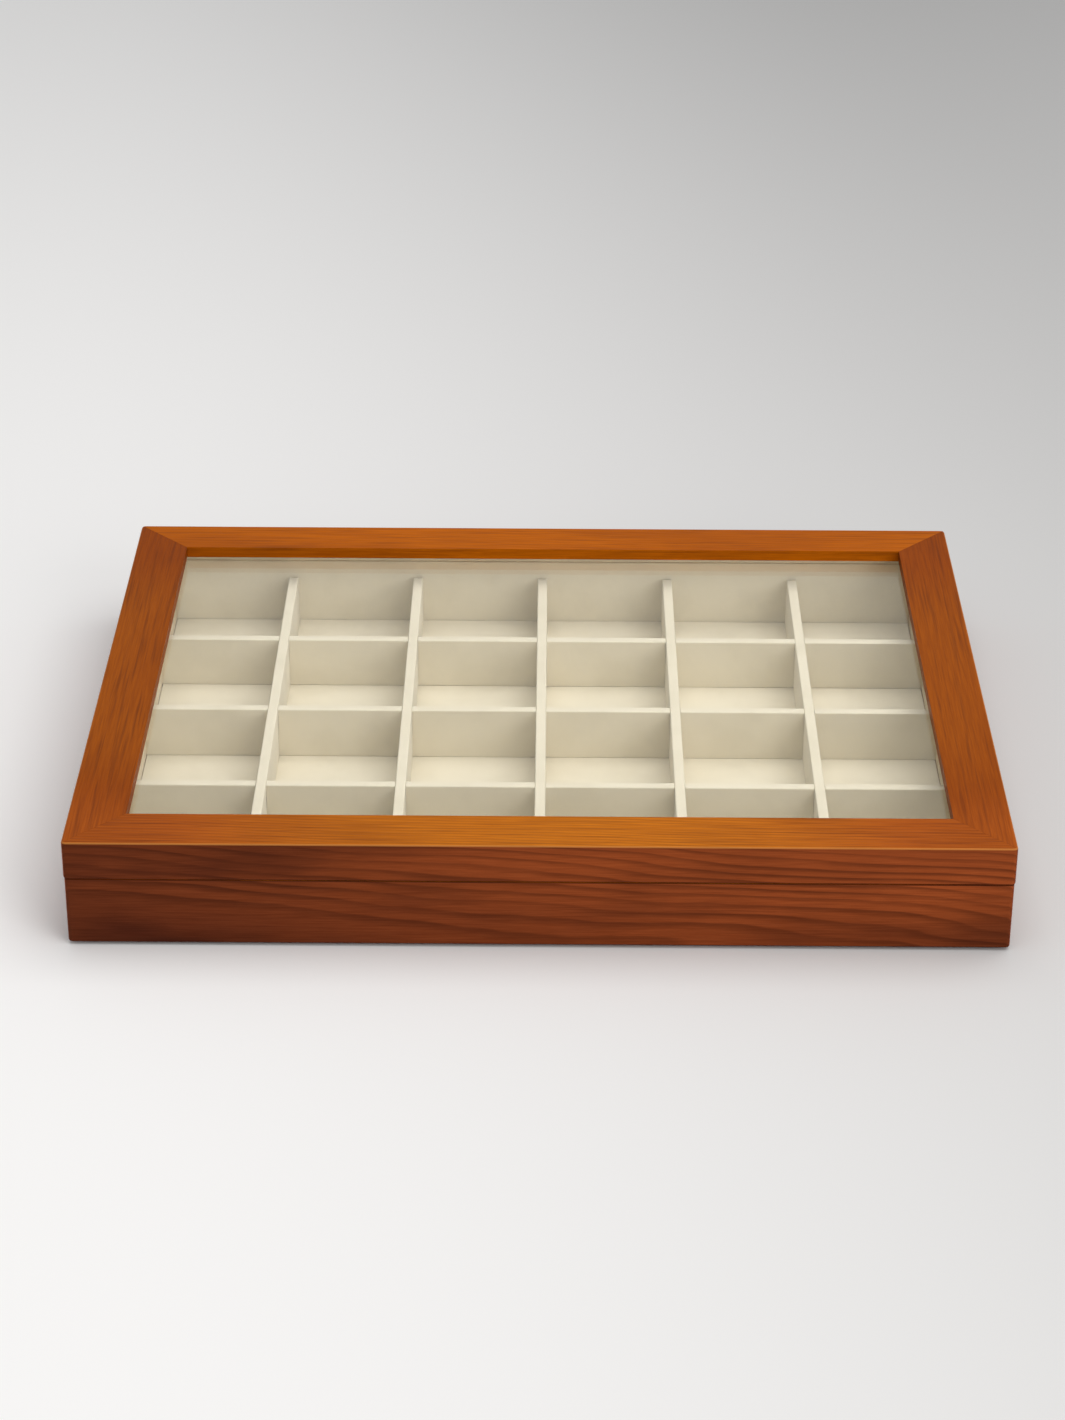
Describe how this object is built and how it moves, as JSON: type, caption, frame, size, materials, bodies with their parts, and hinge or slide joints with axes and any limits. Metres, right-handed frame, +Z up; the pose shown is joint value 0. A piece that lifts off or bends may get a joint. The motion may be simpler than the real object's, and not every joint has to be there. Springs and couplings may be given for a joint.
{
  "type": "coin display case",
  "caption": "Shallow hinged wooden display case with a glazed lid, a mitred frame and a fabric-lined grid of small square compartments.",
  "frame": {"origin": "centre of the felt sheet's underside, on the surface that the case stands on", "axes": "+X along the case's width, to the right of someone facing its front; +Y towards the hinges; +Z up"},
  "size_m": [0.388, 0.3076, 0.0488],
  "materials": {
    "stained_wood": "satin lacquer over red-brown stain",
    "key_wood": "bare",
    "board": "bare thin plywood",
    "velvet": "cream short-pile velvet over board",
    "felt": "dark felt",
    "clear_glass": "clear float glass",
    "brass": "polished"
  },
  "bodies": {
    "base": {"base_front_rail": "stained_wood", "base_back_rail": "stained_wood", "base_left_rail": "stained_wood", "base_right_rail": "stained_wood", "base_key_front_left": "key_wood", "base_key_front_right": "key_wood", "base_key_back_right": "key_wood", "base_key_back_left": "key_wood", "bottom_panel": "board", "felt_sheet": "felt", "floor_pad": "velvet", "liner_front": "velvet", "liner_back": "velvet", "liner_left": "velvet", "liner_right": "velvet", "row_divider_1": "velvet", "row_divider_2": "velvet", "row_divider_3": "velvet", "column_divider_1": "velvet", "column_divider_2": "velvet", "column_divider_3": "velvet", "column_divider_4": "velvet", "column_divider_5": "velvet", "left_hinge_base_leaf": "brass", "left_hinge_base_screw_1": "brass", "left_hinge_base_screw_2": "brass", "left_hinge_pin": "brass", "right_hinge_base_leaf": "brass", "right_hinge_base_screw_1": "brass", "right_hinge_base_screw_2": "brass", "right_hinge_pin": "brass"},
    "lid": {"lid_front_rail": "stained_wood", "lid_back_rail": "stained_wood", "lid_left_rail": "stained_wood", "lid_right_rail": "stained_wood", "lid_key_front_left": "key_wood", "lid_key_front_right": "key_wood", "lid_key_back_right": "key_wood", "lid_key_back_left": "key_wood", "glass_pane": "clear_glass", "glazing_bead_front": "velvet", "glazing_bead_back": "velvet", "glazing_bead_left": "velvet", "glazing_bead_right": "velvet", "left_hinge_lid_leaf": "brass", "left_hinge_lid_screw_1": "brass", "left_hinge_lid_screw_2": "brass", "right_hinge_lid_leaf": "brass", "right_hinge_lid_screw_1": "brass", "right_hinge_lid_screw_2": "brass"}
  },
  "joints": [
    {"name": "lid_hinge", "type": "hinge", "parent": "base", "child": "lid", "pos_m": [0, 0.1533, 0.03155], "axis": [-1, 0, 0], "range_deg": [0, 95]}
  ]
}
